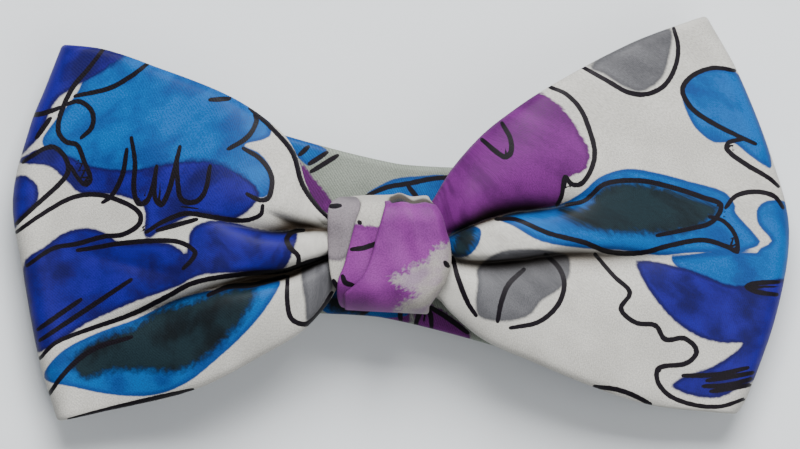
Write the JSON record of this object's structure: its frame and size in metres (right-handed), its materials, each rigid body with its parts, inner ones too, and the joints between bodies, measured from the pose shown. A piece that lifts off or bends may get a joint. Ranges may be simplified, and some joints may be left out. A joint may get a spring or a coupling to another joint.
{
  "type": "bow tie",
  "caption": "Ready-tied clip-on bow tie with a gathered front bow, a flat rear bow, a wrapped knot and a sprung collar clip.",
  "frame": {"origin": "bottom centre of the bow tie's box, on the surface it lies on", "axes": "+X along the bow, to the right as seen from the front, +Y towards the wearer's chin, +Z out of the front of the knot"},
  "size_m": [0.1192, 0.063, 0.0191],
  "materials": {
    "printed_cloth": "printed satin-faced cloth, soft sheen",
    "knot_cloth": "printed satin-faced cloth, soft sheen",
    "interlining": "brushed woven interlining, matt",
    "sewing_thread": "polished polyester thread",
    "plated_steel": "bright nickel plate",
    "spring_steel": "drawn wire"
  },
  "bodies": {
    "bow": {"front_bow": "printed_cloth", "front_bow_interlining": "interlining", "rear_bow": "printed_cloth", "rear_bow_interlining": "interlining", "knot_wrap": "knot_cloth", "knot_interlining": "interlining", "waist_binding_thread": "sewing_thread", "knot_closing_stitch": "sewing_thread", "clip_stitch_jaw_end": "sewing_thread", "clip_stitch_lever_end": "sewing_thread", "clip_base": "plated_steel", "clip_pin": "spring_steel", "clip_spring": "spring_steel"},
    "lever": {"clip_lever": "plated_steel"}
  },
  "joints": [
    {"name": "clip_squeeze", "type": "hinge", "parent": "bow", "child": "lever", "pos_m": [0.00434, -0.00529, 0.0031], "axis": [0, -1, 0], "range_deg": [0, 16], "stiffness_Nm_per_rad": 0.02, "springref_deg": -34.38, "deforming": ["clip_spring"]}
  ]
}
